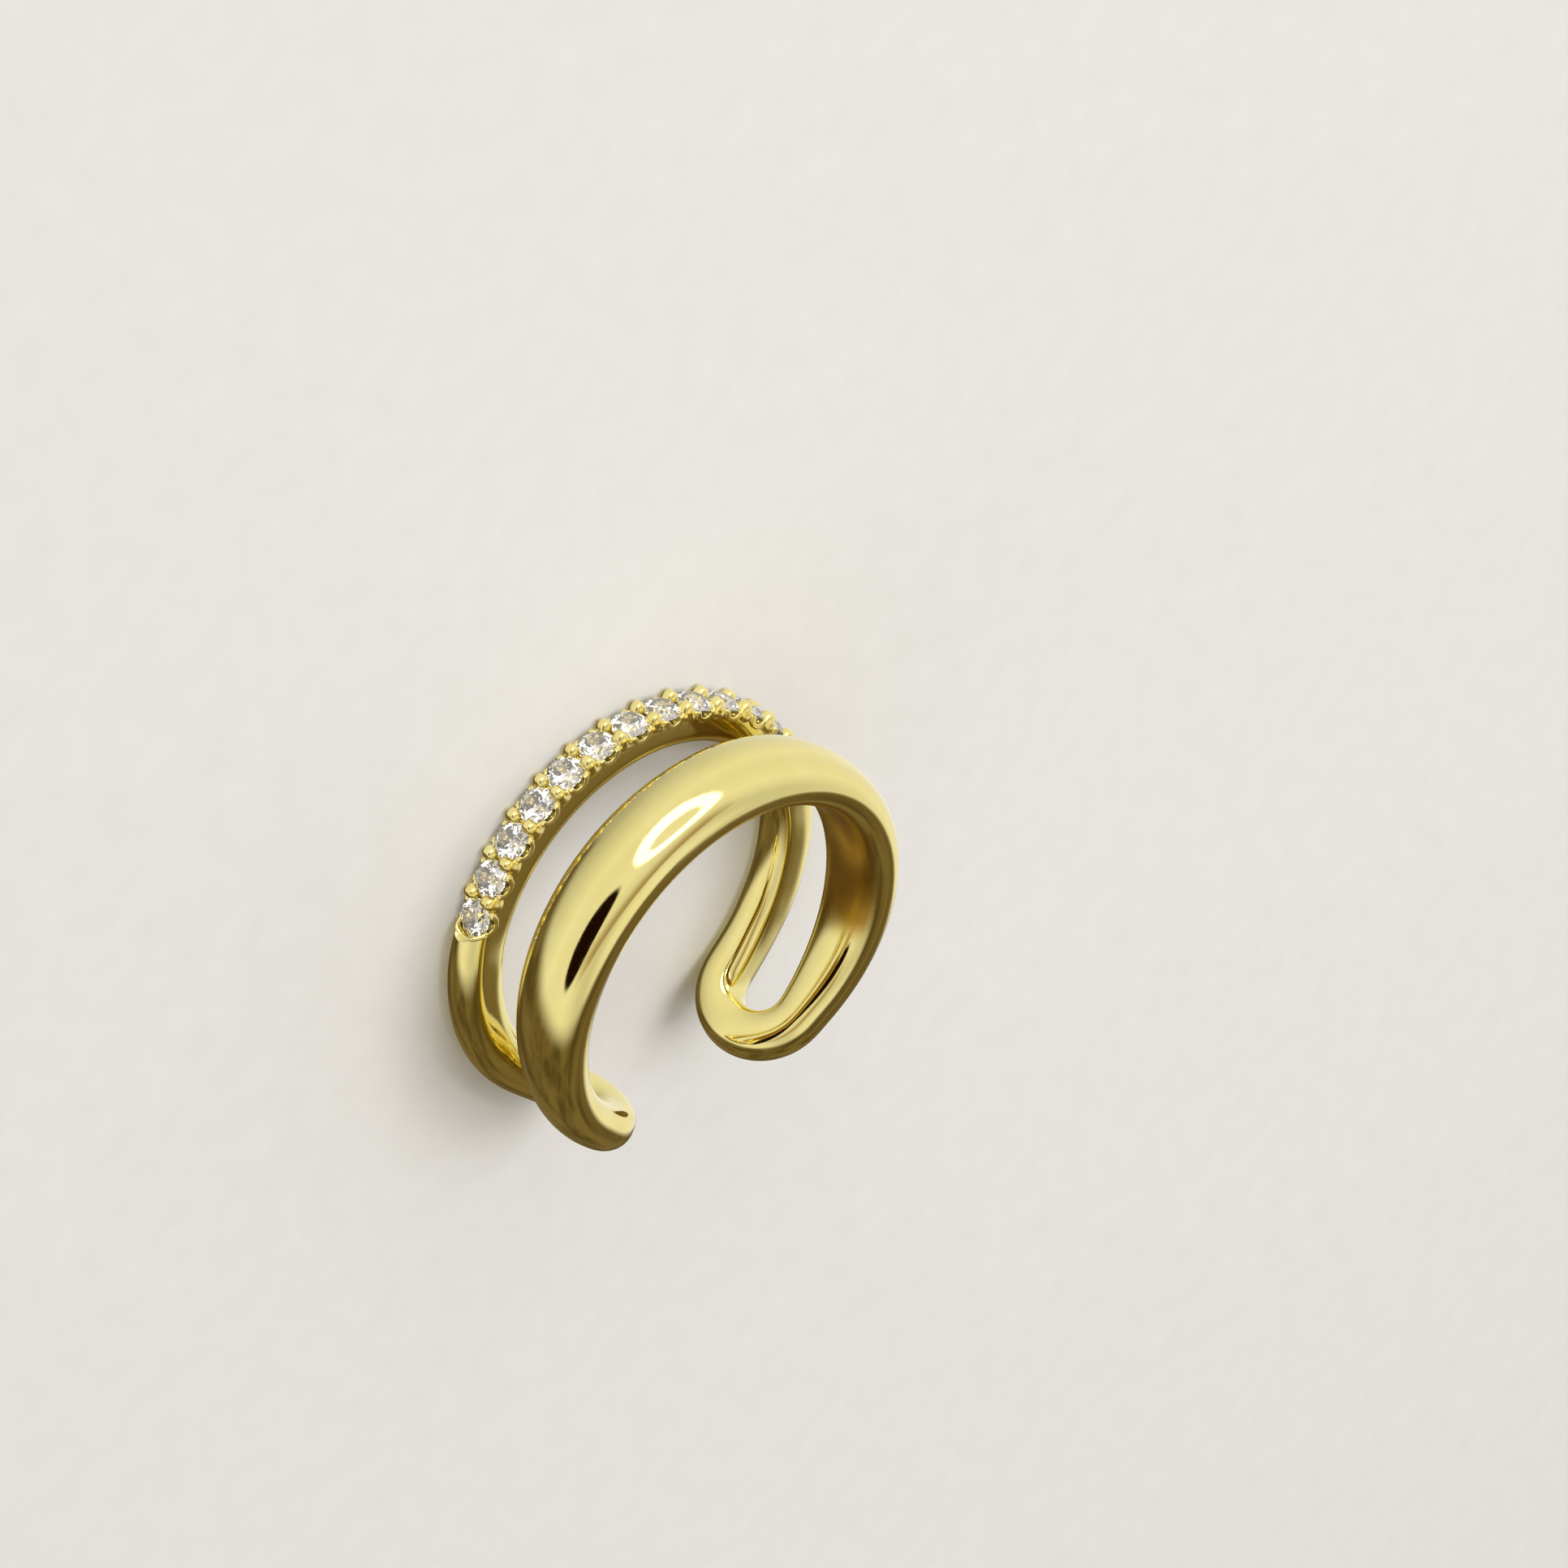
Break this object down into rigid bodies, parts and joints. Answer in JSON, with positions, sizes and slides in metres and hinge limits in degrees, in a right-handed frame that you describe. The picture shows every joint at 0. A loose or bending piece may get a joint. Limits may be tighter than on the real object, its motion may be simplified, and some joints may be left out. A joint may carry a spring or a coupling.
{
  "type": "ear cuff",
  "caption": "Polished gold-coloured open ear cuff with a wide domed band and a narrow band of small round clear stones, joined by rounded hairpin ends.",
  "frame": {"origin": "middle of the bounding box, in the plane of the flat outer side of the stone-set band, on which the cuff lies", "axes": "+Z along the ring's axis from the stone-set band to the plain band, +Y towards the crown of the arch, the mouth opens towards -Y"},
  "size_m": [0.013, 0.0124, 0.0053],
  "materials": {
    "gold": "mirror-polished yellow gold plate",
    "stone": "clear brilliant-cut stone with sharp facets"
  },
  "bodies": {
    "root": {"cuff_body": "gold", "stone_01": "stone", "stone_02": "stone", "stone_03": "stone", "stone_04": "stone", "stone_05": "stone", "stone_06": "stone", "stone_07": "stone", "stone_08": "stone", "stone_09": "stone", "stone_10": "stone", "stone_11": "stone", "stone_12": "stone", "stone_13": "stone", "stone_14": "stone"}
  },
  "joints": []
}
